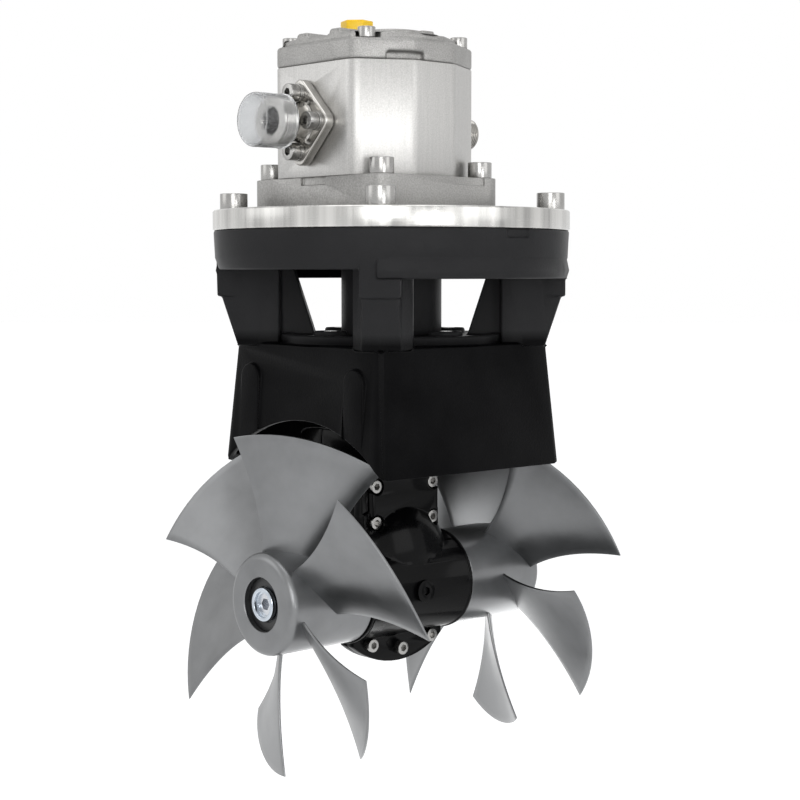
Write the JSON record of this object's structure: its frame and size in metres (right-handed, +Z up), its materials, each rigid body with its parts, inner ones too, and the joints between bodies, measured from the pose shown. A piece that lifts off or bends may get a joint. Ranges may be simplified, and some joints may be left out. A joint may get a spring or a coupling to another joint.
{
  "type": "hydraulic bow thruster",
  "caption": "Hydraulic bow thruster: gear motor on a bracket over a drive leg that turns a propeller at each end of its shaft, clamped through a hull tunnel wall.",
  "frame": {"origin": "where the propeller axis crosses the vertical drive axis, on the centre line of the tunnel", "axes": "+Z up along the drive axis to the motor, +Y along the propeller axis away from the near propeller, +X completes the right-handed frame"},
  "size_m": [0.269, 0.269, 0.554],
  "materials": {
    "bracket_paint": "satin black paint on cast aluminium",
    "leg_paint": "semi-gloss black coating on cast metal",
    "guard_steel": "black coated steel sleeve",
    "turned_plate": "turned, bright",
    "motor_extrusion": "extruded, bright",
    "cast_cover": "bead-blasted cast iron",
    "port_steel": "zinc plated steel",
    "screw_steel": "stainless steel",
    "propeller_metal": "satin cast alloy",
    "shaft_steel": "ground stainless steel",
    "nut_chrome": "polished",
    "stem_alloy": "machined",
    "bearing_steel": "polished rings with steel shields",
    "gear_steel": "ground hardened steel",
    "hub_steel": "machined",
    "seal_rubber": "matt black",
    "spider_rubber": "cast polyurethane",
    "insert_plastic": "matt black",
    "block_alloy": "machined bearing alloy",
    "cap_plastic": "clear polyethylene",
    "plug_plastic": "yellow polyethylene"
  },
  "bodies": {
    "thruster_frame": {"adaptor_plate": "turned_plate", "motor_bracket": "bracket_paint", "coupling_guard": "guard_steel", "stem_tube": "stem_alloy", "stem_o_ring": "seal_rubber", "stem_shaft_seal": "seal_rubber", "drive_leg_half_front": "leg_paint", "drive_leg_half_back": "leg_paint", "leg_screws": "screw_steel", "leg_nuts": "screw_steel", "oil_plugs": "leg_paint", "clamp_bolts": "screw_steel", "clamp_nuts": "screw_steel", "leg_flange_gasket": "seal_rubber", "propeller_shaft_bearings": "bearing_steel", "propeller_shaft_seals": "seal_rubber", "drive_shaft_bearings": "bearing_steel", "motor_body": "motor_extrusion", "motor_front_flange": "cast_cover", "motor_shaft_seal": "seal_rubber", "motor_end_cover": "cast_cover", "bearing_block_lower": "block_alloy", "bearing_block_upper": "block_alloy", "port_connector_near": "port_steel", "port_connector_far": "port_steel", "case_drain_plug": "plug_plastic", "plate_bolts": "screw_steel", "flange_bolts": "screw_steel", "motor_body_bolts": "screw_steel", "port_bolts": "screw_steel", "port_washers": "screw_steel"},
    "propeller_set": {"propeller_shaft": "shaft_steel", "crown_gear": "gear_steel", "propeller_near": "propeller_metal", "propeller_far": "propeller_metal", "propeller_nuts": "nut_chrome", "propeller_hub_inserts": "insert_plastic", "propeller_drive_pins": "shaft_steel"},
    "drive_line": {"pinion_shaft": "gear_steel", "coupling_lower_hub": "hub_steel", "coupling_spider": "spider_rubber", "coupling_upper_hub": "hub_steel", "motor_drive_gear": "gear_steel"},
    "idler_set": {"motor_idler_gear": "gear_steel"},
    "port_cap_set": {"port_cap": "cap_plastic"}
  },
  "joints": [
    {"name": "propeller_spin", "type": "hinge", "parent": "thruster_frame", "child": "propeller_set", "pos_m": [0, 0, 0], "axis": [0, 1, 0], "continuous": true},
    {"name": "drive_spin", "type": "hinge", "parent": "thruster_frame", "child": "drive_line", "pos_m": [0, 0, 0], "axis": [0, 0, 1], "continuous": true},
    {"name": "idler_spin", "type": "hinge", "parent": "thruster_frame", "child": "idler_set", "pos_m": [-0.038, 0, 0], "axis": [0, 0, 1], "continuous": true},
    {"name": "port_cap_pull", "type": "slide", "parent": "thruster_frame", "child": "port_cap_set", "axis": [0, -1, 0], "range_m": [0, 0.03]}
  ],
  "couplings": [
    {"joint": "drive_spin", "follows": "propeller_spin", "ratio": -1.5},
    {"joint": "idler_spin", "follows": "propeller_spin", "ratio": 1.5}
  ]
}
